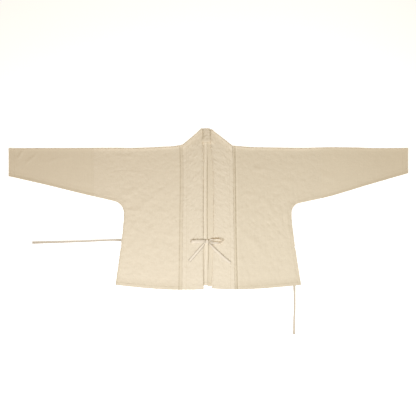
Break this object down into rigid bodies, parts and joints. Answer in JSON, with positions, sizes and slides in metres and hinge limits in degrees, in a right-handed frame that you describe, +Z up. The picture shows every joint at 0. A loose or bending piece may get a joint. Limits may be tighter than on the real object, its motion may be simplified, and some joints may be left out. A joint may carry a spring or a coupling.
{
  "type": "hanfu jacket",
  "caption": "Jacket of pale plain-woven cloth laid out flat, front up, with wide straight sleeves, a broad band round the neck and down both fronts, side slits and tape ties in a bow.",
  "frame": {"origin": "on the surface that the jacket lies on, under the middle of the jacket's box without its ties", "axes": "+X to the wearer's left cuff, which is on the right of the picture; +Y to the collar; +Z up from the surface, out of the front of the jacket"},
  "size_m": [1.5966, 0.8247, 0.0146],
  "materials": {
    "panel_cloth": "matt plain weave",
    "sleeve_cloth": "matt plain weave",
    "band_cloth": "matt plain weave, doubled",
    "tape_cloth": "matt folded tape"
  },
  "bodies": {
    "root": {"body_right": "panel_cloth", "body_left": "panel_cloth", "sleeve_right": "sleeve_cloth", "sleeve_left": "sleeve_cloth", "collar_band": "band_cloth", "side_tie_right": "tape_cloth", "side_tie_left": "tape_cloth", "front_tie_right": "tape_cloth", "front_tie_left": "tape_cloth", "bow_knot": "tape_cloth"}
  },
  "joints": []
}
